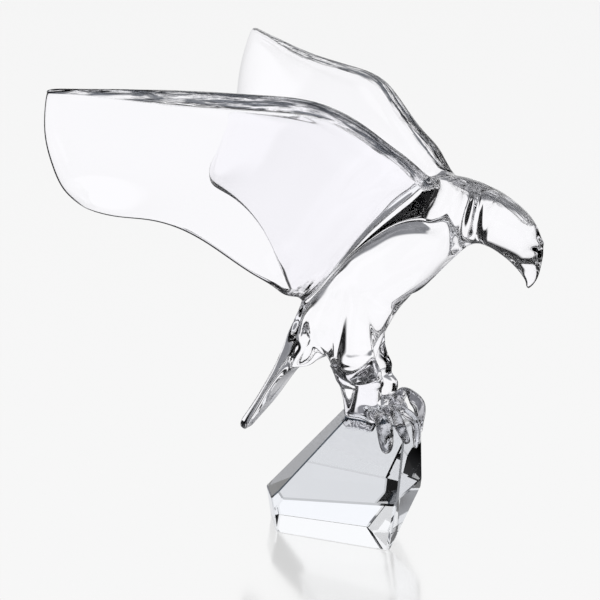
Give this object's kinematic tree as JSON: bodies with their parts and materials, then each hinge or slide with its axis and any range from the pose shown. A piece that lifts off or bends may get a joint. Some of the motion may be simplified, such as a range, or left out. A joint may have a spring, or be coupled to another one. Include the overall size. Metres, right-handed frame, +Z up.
{
  "type": "crystal eagle sculpture",
  "caption": "Clear-crystal eagle landing with raised wings, hooked head and narrow blade tail, gripping a low faceted crystal block.",
  "frame": {"origin": "on the block's flat underside, below the middle of its flat top, at ground level", "axes": "+X the way the eagle faces, +Y its left side, +Z up"},
  "size_m": [0.2129, 0.221, 0.2333],
  "materials": {
    "crystal_eagle_glass": "clear moulded crystal, fire-polished",
    "crystal_block_glass": "clear crystal, cut and polished flat facets"
  },
  "bodies": {
    "root": {"eagle": "crystal_eagle_glass", "block": "crystal_block_glass"}
  },
  "joints": []
}
